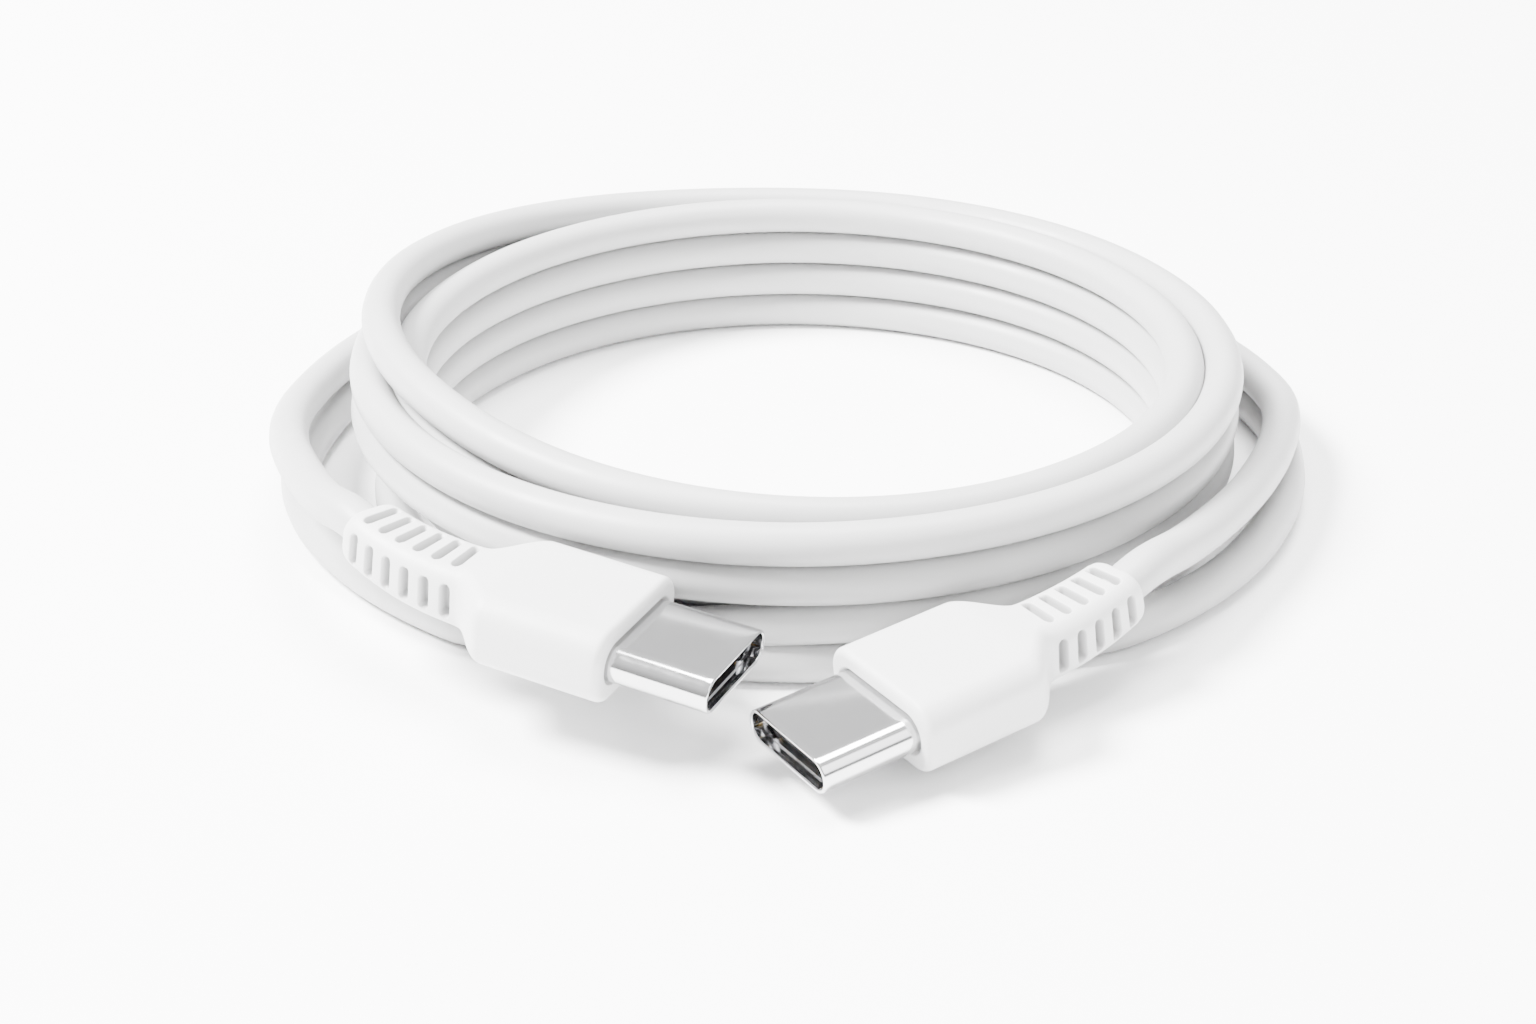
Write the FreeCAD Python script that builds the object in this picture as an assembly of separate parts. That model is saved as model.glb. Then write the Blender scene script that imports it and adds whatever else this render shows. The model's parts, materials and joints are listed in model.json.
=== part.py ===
import FreeCAD, Part
import math
import os

# A phone charging lead with a reversible oval plug on each end, wound for storage into a
# stack of turns that lies on a table. Millimetres, +Z up. The origin is on the table, under
# the middle of the whole object. The plugs are built in their own frame, with X forward
# out of the mouth, Y across the plug and Z up, and the origin at the middle of the mouth's rim.

Vector = FreeCAD.Vector

MIDDLE = Vector(0.07, 3.08, 0)    # the loops' middle; every other place is given from there

# Cord
CORD = 2.8                      # outside diameter of the jacket
COIL_Y = 1.78                   # the stack's middle, behind the loops' middle
STACK_OUTER = (32.6, 32.8)      # half width and half depth of the stack, outside
STACK_INNER = (27.1, 27.25)     # the same, inside
STACK_HEIGHT = 12.2             # four layers and the top turn, bedded into each other
STACK_ROUND = 1.3               # rounding of the stack's outer edges
LOOSE_OUTER = (38.9, 39.9)      # the two looser turns outside the stack, outside
LOOSE_INNER = (35.9, 34.6)      # the same, inside
LOOSE_HEIGHT = 5.6              # two cords, one on the other
LOOSE_FRONT = -2.0              # the loose turns' solid ends here, and the lead tubes begin

# Plug, measured back from the rim of the mouth
SHELL_WIDTH = 8.25
SHELL_HEIGHT = 2.4
SHELL_WALL = 0.25
SHELL_OUT = 6.65                # how much of the shell stands out of the body
SHELL_END = 10.6
BODY_WIDTH = 10.4
BODY_HEIGHT = 4.9
BODY_END = 18.3                 # where the body's shoulder has drawn in to the strain relief
RELIEF_WIDTH = 4.6
RELIEF_HEIGHT = 4.0
SLOT_FIRST = 18.8               # middle of the first flexing slot
SLOT_PITCH = 1.45
SLOT_WIDTH = 0.6
SLOT_DEPTH = 0.55
SLOT_SPAN = 2.5
COLLAR = 1.5                    # from the last slot's middle to the cord's end of the relief
STUB_START = BODY_END           # the jacket's own cut end is inside the body, ahead of this
MOULD_START = 8.0               # inner mould
MOULD_END = 16.0
BOARD_START = 9.0
BOARD_END = 13.6
BOARD_THICK = 0.6
BOARD_WIDTH = 6.6
TONGUE_WIDTH = 6.75             # the socket's tongue goes in here
SLOT_HEIGHT = 1.3
CONTACT_COUNT = 12
CONTACT_PITCH = 0.5
CONTACT_WIDTH = 0.22
CONTACT_THICK = 0.14
CONTACT_Z = 0.42
WIRE_RADIUS = 0.3
WIRE_CIRCLE = 0.8               # the cores leave the jacket on a circle of this radius
WIRE_CUT = 15.9                 # where the jacket is cut and the cores come out

# Where each plug lies: the rim's middle, the way it points, how far its nose dips, its slots
PLUGS = {
    "left": (Vector(-3.4, -38.5, 5.8), -24.0, 5.0, 6),
    "right": (Vector(-0.4, -42.6, 2.8), 213.0, 5.5, 5),
}

# The cord's route where it isn't coiled: straight out of the strain relief, then these points
# to the loose turns
LEAD_STRAIGHT = {"left": 5.5, "right": 6.1}
LEFT_LEAD = [(-36.0, -21.9, 8.2), (-37.4, -17.9, 7.3), (-37.7, -11.2, 5.6), (-37.4, LOOSE_FRONT, 4.2)]
RIGHT_LEAD = [(31.4, -19.6, 5.8), (34.9, -13.2, 5.2), (37.1, -7.0, 4.5), (37.4, LOOSE_FRONT, 4.2)]
# The bottom turn's two stretches on the table, from the loose turns in to the stack
LEFT_FLOOR = [(-37.4, LOOSE_FRONT, 1.4), (-37.4, -8.4, 1.4), (-34.6, -15.2, 1.4), (-29.8, -20.8, 1.4),
              (-24.0, -25.0, 1.4), (-19.0, -27.8, 1.4)]
RIGHT_FLOOR = [(37.4, LOOSE_FRONT, 1.4), (37.4, -8.2, 1.4), (34.4, -14.8, 1.4), (29.8, -20.2, 1.4),
               (24.2, -24.4, 1.4), (19.2, -27.4, 1.4)]


def bar(back, front, width, height, radius=0.0, up=0.0, across=0.0):
    """A bar along X between two distances behind the rim, with rounded long edges."""
    box = Part.makeBox(back - front, width, height, Vector(-back, across - width / 2, up - height / 2))
    if radius <= 0:
        return box
    edges = [e for e in box.Edges if abs(e.tangentAt(e.FirstParameter).x) > 0.99]
    return box.makeFillet(radius, edges)


def ring_wire(distance, width, height, radius):
    """A rounded rectangle across the plug, at a distance behind the rim."""
    half = bar(distance + 1, distance, width, height, radius)
    face = max(half.Faces, key=lambda f: f.CenterOfMass.x)
    return face.OuterWire


def drawn(stations):
    """A solid through rounded rectangles: (distance, width, height, corner radius) each."""
    return Part.makeLoft([ring_wire(*s) for s in stations], True, True)


def rod(start, end, radius):
    way = end - start
    return Part.makeCylinder(radius, way.Length, start, way)


def joined(shapes):
    """Separate solids that share one node."""
    return Part.makeCompound(shapes)


def relief_end(slots):
    return SLOT_FIRST + (slots - 1) * SLOT_PITCH + COLLAR


def plug_shell():
    outside = bar(SHELL_END, 0, SHELL_WIDTH, SHELL_HEIGHT, SHELL_HEIGHT / 2 - 0.02)
    width = SHELL_WIDTH - 2 * SHELL_WALL
    height = SHELL_HEIGHT - 2 * SHELL_WALL
    inside = bar(SHELL_END + 1, -1, width, height, height / 2 - 0.02)
    return outside.cut(inside)


def insulator():
    """The black moulding that holds the contacts, set back inside the shell."""
    gap = 0.01
    width = SHELL_WIDTH - 2 * SHELL_WALL - 2 * gap
    height = SHELL_HEIGHT - 2 * SHELL_WALL - 2 * gap
    block = bar(BOARD_START, 1.3, width, height, height / 2 - 0.02)
    mouth = bar(6.3, 0.5, TONGUE_WIDTH, SLOT_HEIGHT)
    sides = [bar(6.3, 0.5, 0.55, 1.1, 0.0, 0.0, s * (TONGUE_WIDTH / 2 + 0.05)) for s in (1, -1)]
    tails = [bar(BOARD_START + 1, 6.0, 5.9, 0.2, 0.0, s * CONTACT_Z) for s in (1, -1)]
    return block.cut([mouth] + sides + tails)


def contact_row(side):
    """Twelve sprung fingers: each runs along the mouth and bows in to meet the tongue."""
    fingers = []
    for k in range(CONTACT_COUNT):
        y = (k - (CONTACT_COUNT - 1) / 2) * CONTACT_PITCH
        finger = bar(6.2, 2.1, CONTACT_WIDTH, CONTACT_THICK, 0.0, side * CONTACT_Z, y)
        bow = bar(2.9, 2.3, CONTACT_WIDTH, 0.1, 0.0, side * (CONTACT_Z - CONTACT_THICK / 2 - 0.05), y)
        fingers.append(finger.fuse(bow).removeSplitter())
    return joined(fingers)


def contact_tails(side):
    """The fingers' fixed ends, held in the insulator and soldered to the board."""
    tails = []
    for k in range(CONTACT_COUNT):
        y = (k - (CONTACT_COUNT - 1) / 2) * CONTACT_PITCH
        tails.append(bar(BOARD_START + 0.9, 6.35, CONTACT_WIDTH, 0.12, 0.0, side * CONTACT_Z, y))
    return joined(tails)


def latch_arm(side):
    """A side spring whose curled hook holds the socket's tongue."""
    y = side * (TONGUE_WIDTH / 2 + 0.02)
    arm = bar(6.1, 1.2, 0.2, 0.7, 0.0, 0.0, y)
    lead = bar(1.2, 0.75, 0.2, 0.5, 0.0, 0.0, y - side * 0.05)
    hook = Part.makeCylinder(0.26, 0.7, Vector(-1.3, y - side * 0.2, -0.35), Vector(0, 0, 1))
    return arm.fuse([lead, hook]).removeSplitter()


def ground_spring(side):
    """A thin plate behind the mouth that touches the socket's shell."""
    return bar(1.28, 0.7, 5.2, 0.1, 0.0, side * (SHELL_HEIGHT / 2 - SHELL_WALL - 0.07))


def circuit_board():
    return bar(BOARD_END, BOARD_START + 0.02, BOARD_WIDTH, BOARD_THICK)


def control_chip():
    return bar(12.0, 10.4, 1.8, 0.45, 0.0, BOARD_THICK / 2 + 0.225, 1.2)


def board_passives():
    """Small resistors and capacitors beside the chip and under the board."""
    spots = [(11.0, -1.0, 1), (11.9, -1.0, 1), (11.0, -2.2, 1), (11.2, 1.6, -1), (12.1, -1.6, -1)]
    return joined([bar(x + 0.5, x, 0.3, 0.28, 0.0, s * (BOARD_THICK / 2 + 0.14), y) for x, y, s in spots])


# Each core's pad: how far across the board, on which side, and its angle round the cord
WIRE_PLACES = {
    "power_wire": (2.3, 1, 18), "ground_wire": (-2.3, 1, 162), "control_wire": (0.0, 1, 90),
    "data_wire_positive": (0.9, -1, -54), "data_wire_negative": (-0.9, -1, -126),
}


def wire(name):
    """One insulated core from its solder pad to the jacket's cut end."""
    y, side, angle = WIRE_PLACES[name]
    height = side * (BOARD_THICK / 2 + WIRE_RADIUS + 0.01)
    pad = Vector(-12.75, y, height)
    turn = Vector(-13.8, y, height)
    y_end = WIRE_CIRCLE * math.cos(math.radians(angle))
    z_end = WIRE_CIRCLE * math.sin(math.radians(angle))
    gather = Vector(-15.4, y_end, z_end)
    end = Vector(-WIRE_CUT, y_end, z_end)
    runs = [rod(turn, gather, WIRE_RADIUS), rod(gather, end, WIRE_RADIUS)]
    bends = [Part.makeSphere(WIRE_RADIUS, turn), Part.makeSphere(WIRE_RADIUS, gather)]
    return rod(pad, turn, WIRE_RADIUS).fuse(runs + bends).removeSplitter()


def solder_joints():
    """A bead of solder on each core's pad."""
    beads = []
    for y, side, angle in WIRE_PLACES.values():
        bead = bar(12.73, 12.2, 0.6, 0.34, 0.1, side * (BOARD_THICK / 2 + 0.17), y)
        beads.append(bead)
    return joined(beads)


def jacket_end():
    """The cord inside the plug, up to where its jacket is cut."""
    return rod(Vector(-STUB_START, 0, 0), Vector(-WIRE_CUT, 0, 0), CORD / 2)


def crimp_ferrule():
    """The metal sleeve that grips the jacket and takes the cord's pull."""
    sleeve = rod(Vector(-17.9, 0, 0), Vector(-16.3, 0, 0), CORD / 2 + 0.25)
    return sleeve.cut(rod(Vector(-19, 0, 0), Vector(-16, 0, 0), CORD / 2))


def shield_half(side):
    """One half of the metal can round the board."""
    wall = 0.15
    outside = bar(14.6, MOULD_START + 2.7, 7.9, 1.9, 0.3, side * 0.96)
    inside = bar(14.8, MOULD_START + 2.6, 7.9 - 2 * wall, 1.9, 0.2, side * (0.96 - wall))
    return outside.cut(inside)


def body_outside():
    """The body's outer form, from its front face to the drawn-in shoulder."""
    return drawn([
        (SHELL_OUT, BODY_WIDTH - 0.8, BODY_HEIGHT - 0.8, 1.5),
        (SHELL_OUT + 0.4, BODY_WIDTH, BODY_HEIGHT, 1.8),
        (15.4, BODY_WIDTH - 0.2, BODY_HEIGHT, 1.8),
        (16.4, BODY_WIDTH - 1.4, BODY_HEIGHT - 0.1, 1.8),
        (17.4, BODY_WIDTH - 3.7, BODY_HEIGHT - 0.5, 1.7),
        (BODY_END, RELIEF_WIDTH + 0.4, RELIEF_HEIGHT + 0.2, 1.5),
    ])


def inner_mould(held):
    """The hard plastic cast round the board and the ferrule before the body goes on."""
    block = bar(MOULD_END, MOULD_START, 8.6, 4.2, 1.2)
    return block.cut(held)


def strain_relief(slots):
    """A tapering sleeve with flexing slots on all four faces and a rounded collar."""
    end = relief_end(slots)
    sleeve = drawn([
        (BODY_END, RELIEF_WIDTH + 0.4, RELIEF_HEIGHT + 0.2, 1.5),
        (BODY_END + 1.0, RELIEF_WIDTH, RELIEF_HEIGHT, 1.5),
        (end - 0.5, RELIEF_WIDTH - 0.6, RELIEF_HEIGHT - 0.3, 1.5),
        (end, RELIEF_WIDTH - 1.2, RELIEF_HEIGHT - 0.7, 1.4),
    ])
    cuts = [rod(Vector(-end - 1, 0, 0), Vector(-BODY_END + 1, 0, 0), CORD / 2)]
    for k in range(slots):
        at = SLOT_FIRST + k * SLOT_PITCH
        wide = RELIEF_WIDTH - 0.06 - 0.6 * k / slots
        high = RELIEF_HEIGHT - 0.03 - 0.3 * k / slots
        for s in (1, -1):
            cuts.append(bar(at + SLOT_WIDTH / 2, at - SLOT_WIDTH / 2, SLOT_SPAN, 2 * SLOT_DEPTH, 0, s * high / 2))
            cuts.append(bar(at + SLOT_WIDTH / 2, at - SLOT_WIDTH / 2, 2 * SLOT_DEPTH, SLOT_SPAN - 0.5, 0, 0,
                            s * wide / 2))
    return sleeve.cut(cuts)


def cord_stub(slots):
    """The cord inside the strain relief, out to its end."""
    return rod(Vector(-relief_end(slots), 0, 0), Vector(-STUB_START, 0, 0), CORD / 2)


def plug_parts(slots):
    """Every piece of one plug, in the plug's own frame."""
    parts = {
        "plug_shell": plug_shell(),
        "insulator": insulator(),
        "contacts_upper": contact_row(1),
        "contacts_lower": contact_row(-1),
        "contact_tails_upper": contact_tails(1),
        "contact_tails_lower": contact_tails(-1),
        "latch_arm_a": latch_arm(1),
        "latch_arm_b": latch_arm(-1),
        "ground_springs": joined([ground_spring(1), ground_spring(-1)]),
        "circuit_board": circuit_board(),
        "control_chip": control_chip(),
        "board_passives": board_passives(),
        "solder_joints": solder_joints(),
        "shield_upper": shield_half(1),
        "shield_lower": shield_half(-1),
        "jacket_end": jacket_end(),
        "crimp_ferrule": crimp_ferrule(),
    }
    for name in WIRE_PLACES:
        parts[name] = wire(name)
    held = list(parts.values()) + [bar(SHELL_END, 0, SHELL_WIDTH - 0.4, SHELL_HEIGHT - 0.4)]
    parts["inner_mould"] = inner_mould(held)
    core = [bar(MOULD_END, MOULD_START, 8.6, 4.2, 1.2), bar(SHELL_END, 0, SHELL_WIDTH, SHELL_HEIGHT, 1.18),
            parts["crimp_ferrule"], parts["jacket_end"]]
    parts["plug_body"] = body_outside().cut(core)
    parts["strain_relief"] = strain_relief(slots)
    parts["cord_stub"] = cord_stub(slots)
    return parts


def placed(shape, rim, yaw, dip):
    """Turn a plug's piece to where the plug lies."""
    turn = FreeCAD.Rotation(Vector(0, 0, 1), yaw).multiply(FreeCAD.Rotation(Vector(0, 1, 0), dip))
    out = shape.copy()
    out.Placement = FreeCAD.Placement(rim, turn)
    return out


def tail_point(name):
    """The middle of the strain relief's cord end, and the way the cord leaves it."""
    rim, yaw, dip, slots = PLUGS[name]
    turn = FreeCAD.Rotation(Vector(0, 0, 1), yaw).multiply(FreeCAD.Rotation(Vector(0, 1, 0), dip))
    way = turn.multVec(Vector(-1, 0, 0))
    return rim + way * relief_end(slots), way


def cord_tube(name, points):
    """A tube of the cord's diameter: straight runs joined by tangent arcs."""
    points = [Vector(*p) for p in points]
    edges = []
    at = points[0]
    for before, corner, after in zip(points, points[1:], points[2:]):
        a = before - corner
        b = after - corner
        run = min(a.Length, b.Length)
        a.normalize()
        b.normalize()
        turn = math.pi - a.getAngle(b)
        cut = 0.45 * run
        radius = cut / math.tan(turn / 2)
        start = corner + a * cut
        end = corner + b * cut
        middle = corner + (a + b).normalize() * (radius / math.cos(turn / 2) - radius)
        edges.append(Part.LineSegment(at, start).toShape())
        edges.append(Part.Arc(start, middle, end).toShape())
        print(f"{name}: turn {math.degrees(turn):.0f} degrees, bend radius {radius:.1f} mm")
        at = end
    edges.append(Part.LineSegment(at, points[-1]).toShape())
    path = Part.Wire(edges)
    way = edges[0].tangentAt(edges[0].FirstParameter)
    section = Part.Wire(Part.makeCircle(CORD / 2, points[0], way))
    tube = path.makePipeShell([section], True, False, 2)
    expected = math.pi * (CORD / 2) ** 2 * path.Length
    print(f"{name}: {path.Length:.1f} mm long, volume {tube.Volume:.1f}, section times length {expected:.1f}")
    return tube


def oval_prism(half_width, half_depth, height, middle_y, round_off=0.0):
    """A prism on the table with an oval outline."""
    if half_width >= half_depth:
        oval = Part.Ellipse(Vector(0, middle_y, 0), half_width, half_depth)
    else:
        oval = Part.Ellipse(Vector(0, middle_y + half_depth, 0), Vector(half_width, middle_y, 0),
                            Vector(0, middle_y, 0))
    prism = Part.Face(Part.Wire(oval.toShape())).extrude(Vector(0, 0, height))
    if round_off:
        rims = [e for e in prism.Edges if abs(e.BoundBox.ZMax - e.BoundBox.ZMin) < 0.01]
        prism = prism.makeFillet(round_off, rims)
    return prism


def coil_stack():
    """The outer shape of the neat stack of turns."""
    outside = oval_prism(*STACK_OUTER, STACK_HEIGHT, COIL_Y, STACK_ROUND)
    return outside.cut(oval_prism(*STACK_INNER, STACK_HEIGHT, COIL_Y))


def loose_turns():
    """The outer shape of the two looser turns, round the left, the back and the right."""
    outside = oval_prism(*LOOSE_OUTER, LOOSE_HEIGHT, 0)
    inside = oval_prism(*LOOSE_INNER, LOOSE_HEIGHT, 0)
    front = Part.makeBox(100, 60, LOOSE_HEIGHT, Vector(-50, LOOSE_FRONT - 60, 0))
    return outside.cut([inside, front])


def cord_parts():
    left, left_way = tail_point("left")
    right, right_way = tail_point("right")
    left_start = [tuple(left), tuple(left + left_way * LEAD_STRAIGHT["left"])]
    right_start = [tuple(right), tuple(right + right_way * LEAD_STRAIGHT["right"])]
    return {
        "coil_stack": coil_stack(),
        "loose_turns": loose_turns(),
        "left_lead": cord_tube("left_lead", left_start + LEFT_LEAD),
        "right_lead": cord_tube("right_lead", right_start + RIGHT_LEAD),
        "left_floor_turn": cord_tube("left_floor_turn", LEFT_FLOOR),
        "right_floor_turn": cord_tube("right_floor_turn", RIGHT_FLOOR),
    }


def build():
    nodes = {}
    for side, (rim, yaw, dip, slots) in PLUGS.items():
        for name, shape in plug_parts(slots).items():
            nodes[f"{side}_{name}"] = placed(shape, rim, yaw, dip)
    nodes.update(cord_parts())
    return {name: shape.translated(MIDDLE) for name, shape in nodes.items()}


def main():
    os.makedirs("parts", exist_ok=True)
    for old in os.listdir("parts"):
        os.remove(os.path.join("parts", old))
    for name, shape in build().items():
        shape.exportStep(f"parts/{name}.step")
        print(name, "solids", len(shape.Solids), "valid", shape.isValid(), f"volume {shape.Volume:.2f}")


if __name__ == "__main__":
    main()
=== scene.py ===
import json
import math

import bmesh
import bpy
from bpy.props import FloatProperty, FloatVectorProperty, IntProperty, PointerProperty
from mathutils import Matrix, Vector


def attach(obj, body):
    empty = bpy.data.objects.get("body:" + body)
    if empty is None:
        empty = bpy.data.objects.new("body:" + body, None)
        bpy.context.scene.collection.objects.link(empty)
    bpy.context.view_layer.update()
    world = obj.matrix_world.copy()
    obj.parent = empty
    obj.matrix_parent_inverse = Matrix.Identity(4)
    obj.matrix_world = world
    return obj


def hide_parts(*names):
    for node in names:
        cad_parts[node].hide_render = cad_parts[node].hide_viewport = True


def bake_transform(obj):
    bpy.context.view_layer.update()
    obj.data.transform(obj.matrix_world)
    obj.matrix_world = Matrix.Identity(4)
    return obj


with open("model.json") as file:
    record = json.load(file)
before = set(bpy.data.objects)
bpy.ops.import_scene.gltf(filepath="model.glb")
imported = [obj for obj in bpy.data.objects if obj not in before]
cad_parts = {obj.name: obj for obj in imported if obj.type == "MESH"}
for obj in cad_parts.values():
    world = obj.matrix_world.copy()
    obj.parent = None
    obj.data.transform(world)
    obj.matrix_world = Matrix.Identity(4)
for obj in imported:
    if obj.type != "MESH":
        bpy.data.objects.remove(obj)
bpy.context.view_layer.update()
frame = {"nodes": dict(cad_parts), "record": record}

# A white charging cable, wound into a flat ring of turns, with a moulded plug on each end.
# Metres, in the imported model's own frame. The plugs are built in their own frames: distances
# are measured back from the rim of the mouth, Y goes across the plug and Z up.

bl_info = {
    "name": "Charging cable",
    "version": (1, 0, 0),
    "blender": (4, 5, 0),
    "location": "View3D > Sidebar > Cable",
    "description": "Builds a wound charging cable round its packed model",
    "category": "Object",
}

MM = 0.001
SIDES = ("left", "right")
SLOTS = {"left": 6, "right": 5}

# The cord's route where it isn't coiled, from each strain relief's end, in millimetres from the
# middle of the loose turns
LOOPS_MIDDLE = Vector((0.07, 3.08, 0.0)) * MM
STACK_MIDDLE_Y = 0.27            # the neat turns' middle behind that, in cord diameters
LEAD_STRAIGHT = {"left": 2.0, "right": 3.0}
LEFT_LEAD = [(-30.8, -21.7, 8.5), (-33.6, -15.6, 7.8), (-36.2, -8.0, 6.6), (-37.4, 1.0, 5.2)]
RIGHT_LEAD = [(26.0, -21.6, 5.7), (30.8, -14.4, 5.4), (34.4, -6.2, 4.8), (36.4, 0.6, 4.4)]
LEFT_FLOOR = [(-37.2, 1.0, 1.4), (-36.2, -5.6, 1.4), (-33.8, -12.0, 1.4), (-29.8, -18.0, 1.4),
              (-25.0, -22.8, 1.4), (-19.4, -26.8, 1.4)]
RIGHT_FLOOR = [(36.9, 1.5, 1.4), (35.9, -5.2, 1.4), (33.2, -12.0, 1.4), (29.4, -18.0, 1.4),
               (24.8, -22.8, 1.4), (19.4, -26.6, 1.4)]

# The neat turns, by the angle wound from the front: 0 front, 90 left, 180 back, 270 right
POINT_STEP = 15
NEAT_START = 345
NEAT_END = 2890
TO_INNER = (400, 490)            # the bottom turn passes in under the raised inner column
TO_OUTER = (1850, 1910)          # the top turn crosses back over to the outer column
INNER_RISES = [(690 + 360 * k, 810 + 360 * k) for k in range(4)]
OUTER_FALLS = [(1900 + 360 * k, 1980 + 360 * k) for k in range(3)]
LOOSE_FROM = 95
LOOSE_TO = 265

# Sizes of the turns, in cord diameters
OUTER_RADIUS = 11.18             # the outer column's middle radius
FRONT_PULL = 0.36                # how much less the radius is at the front, and more at the back
OVAL = 0.03                      # how much less it is at the sides, and more at front and back
COLUMN_STEP = 0.98               # from the outer column in to the inner one
WANDER = 0.035                   # how far one turn strays from the next
UPPER_LOOSE = (13.36, 0.42)      # the upper loose turn's radius, and how much more at the back
LOWER_LOOSE = (13.3, -0.45)
CORD_INSIDE = 1.5 * MM           # how far the cord runs into each strain relief


# ------------------------------------------------------------------ what a user would change

class CordSettings(bpy.types.PropertyGroup):
    diameter: FloatProperty(
        name="Diameter", description="Outside diameter of the jacket", default=2.8 * MM,
        min=1 * MM, max=8 * MM, unit="LENGTH", precision=5)
    length: FloatProperty(
        name="Length", description="The cord's whole length between its plugs", default=1.72,
        unit="LENGTH")
    colour: FloatVectorProperty(
        name="Jacket colour", description="Colour of the cord's jacket",
        default=(0.42, 0.42, 0.42), min=0, max=1, subtype="COLOR")


class MouldingSettings(bpy.types.PropertyGroup):
    width: FloatProperty(
        name="Body width", description="Width of the plug's moulded body", default=10.4 * MM,
        unit="LENGTH", precision=5)
    height: FloatProperty(
        name="Body height", description="Height of the plug's moulded body", default=4.9 * MM,
        unit="LENGTH", precision=5)
    corner: FloatProperty(
        name="Corner radius", description="Radius of the body's long corners", default=1.75 * MM,
        unit="LENGTH", precision=5)
    front_edge: FloatProperty(
        name="Front edge radius", description="Radius round the body's front face", default=0.5 * MM,
        unit="LENGTH", precision=5)
    relief_width: FloatProperty(
        name="Strain relief width", description="Width of the strain relief at the body",
        default=4.6 * MM, unit="LENGTH", precision=5)
    relief_height: FloatProperty(
        name="Strain relief height", description="Height of the strain relief at the body",
        default=4.0 * MM, unit="LENGTH", precision=5)
    slot_width: FloatProperty(
        name="Slot width", description="Width of one flexing slot", default=0.62 * MM,
        unit="LENGTH", precision=5)
    slot_depth: FloatProperty(
        name="Slot depth", description="Depth of one flexing slot", default=0.75 * MM,
        unit="LENGTH", precision=5)
    columns: IntProperty(
        name="Columns", description="Mesh columns round a quarter of the moulding", default=52,
        min=16, max=96)
    colour: FloatVectorProperty(
        name="Moulding colour", description="Colour of the plug's white moulding",
        default=(0.58, 0.58, 0.58), min=0, max=1, subtype="COLOR")


class ShellSettings(bpy.types.PropertyGroup):
    width: FloatProperty(
        name="Shell width", description="Width of the steel shell", default=8.25 * MM,
        unit="LENGTH", precision=5)
    height: FloatProperty(
        name="Shell height", description="Height of the steel shell", default=2.4 * MM,
        unit="LENGTH", precision=5)
    wall: FloatProperty(
        name="Shell wall", description="Thickness of the steel", default=0.25 * MM,
        unit="LENGTH", precision=5)
    colour: FloatVectorProperty(
        name="Steel colour", description="Colour of the polished steel",
        default=(0.6, 0.6, 0.605), min=0, max=1, subtype="COLOR")


class StageSettings(bpy.types.PropertyGroup):
    camera_away: FloatProperty(
        name="Camera distance", description="How far in front of the loops the camera stands",
        default=162.3 * MM, unit="LENGTH")
    camera_height: FloatProperty(
        name="Camera height", description="The camera's height above the floor",
        default=79.2 * MM, unit="LENGTH")
    camera_tilt: FloatProperty(
        name="Camera tilt", description="How far down the camera looks",
        default=math.radians(26.85), subtype="ANGLE")
    camera_turn: FloatProperty(
        name="Camera turn", description="How far to its left the camera looks",
        default=math.radians(0.7), subtype="ANGLE")
    lens: FloatProperty(name="Lens", description="Focal length in millimetres", default=56.25)
    floor_colour: FloatVectorProperty(
        name="Floor colour", description="Colour of the pale floor",
        default=(0.97, 0.97, 0.97), min=0, max=1, subtype="COLOR")


class CableSettings(bpy.types.PropertyGroup):
    cord: PointerProperty(type=CordSettings, name="Cord", description="The cord")
    moulding: PointerProperty(type=MouldingSettings, name="Moulding", description="The plug's moulding")
    shell: PointerProperty(type=ShellSettings, name="Shell", description="The plug's steel shell")
    stage: PointerProperty(type=StageSettings, name="Stage", description="Floor, lights and camera")


# --------------------------------------------------------------------------- node groups

def group_socket(group, name, kind, way, value=None):
    socket = group.interface.new_socket(name=name, in_out=way, socket_type=kind)
    if value is not None:
        socket.default_value = value


def join(tree, start, end):
    tree.links.new(start, end)


def node(tree, kind, **values):
    new = tree.nodes.new(kind)
    for name, value in values.items():
        setattr(new, name, value)
    return new


def noise(tree, at, scale, detail=2.0, roughness=0.5):
    new = node(tree, "ShaderNodeTexNoise")
    join(tree, at, new.inputs["Vector"])
    if isinstance(scale, float):
        new.inputs["Scale"].default_value = scale
    else:
        join(tree, scale, new.inputs["Scale"])
    new.inputs["Detail"].default_value = detail
    new.inputs["Roughness"].default_value = roughness
    return new


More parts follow.
